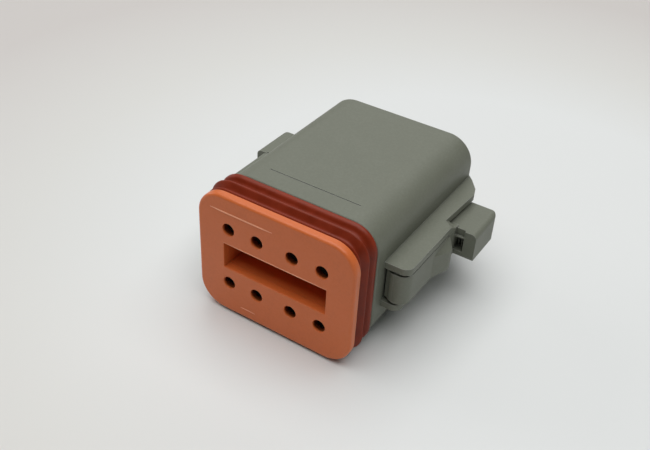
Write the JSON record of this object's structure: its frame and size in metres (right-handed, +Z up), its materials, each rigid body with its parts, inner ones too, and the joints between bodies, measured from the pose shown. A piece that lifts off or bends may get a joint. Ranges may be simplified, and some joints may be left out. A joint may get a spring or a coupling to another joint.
{
  "type": "sealed automotive connector plug",
  "caption": "Rectangular sealed wire-to-wire plug with two side latches, ribbed interface seal, sliding wedge lock and rear wire grommet.",
  "frame": {"origin": "centre of the bounding box's bottom, under the middle of the shell", "axes": "+Z up, +X across the width through the latches, -Y the mating direction, +Y towards the wires"},
  "size_m": [0.044, 0.0388, 0.0228],
  "materials": {
    "shell_plastic": "moulded grey thermoplastic, fine satin",
    "latch_plastic": "moulded grey thermoplastic, fine satin",
    "seal_silicone": "rust-red silicone, slightly oily sheen",
    "lock_plastic": "moulded orange thermoplastic, satin"
  },
  "bodies": {
    "shell": {"housing": "shell_plastic", "interface_seal": "seal_silicone", "wire_grommet": "seal_silicone"},
    "right_latch": {"right_latch": "latch_plastic"},
    "left_latch": {"left_latch": "latch_plastic"},
    "wedge_lock": {"wedge_lock": "lock_plastic"}
  },
  "joints": [
    {"name": "right_latch_hinge", "type": "hinge", "parent": "shell", "child": "right_latch", "pos_m": [0.0162, 0.0029, 0.0114], "axis": [0, 0, 1], "range_deg": [0, 8], "stiffness_Nm_per_rad": 0.6},
    {"name": "left_latch_hinge", "type": "hinge", "parent": "shell", "child": "left_latch", "pos_m": [-0.0162, 0.0029, 0.0114], "axis": [0, 0, -1], "range_deg": [0, 8], "stiffness_Nm_per_rad": 0.6},
    {"name": "wedge_lock_slide", "type": "slide", "parent": "shell", "child": "wedge_lock", "axis": [0, -1, 0], "range_m": [0, 0.014]}
  ]
}
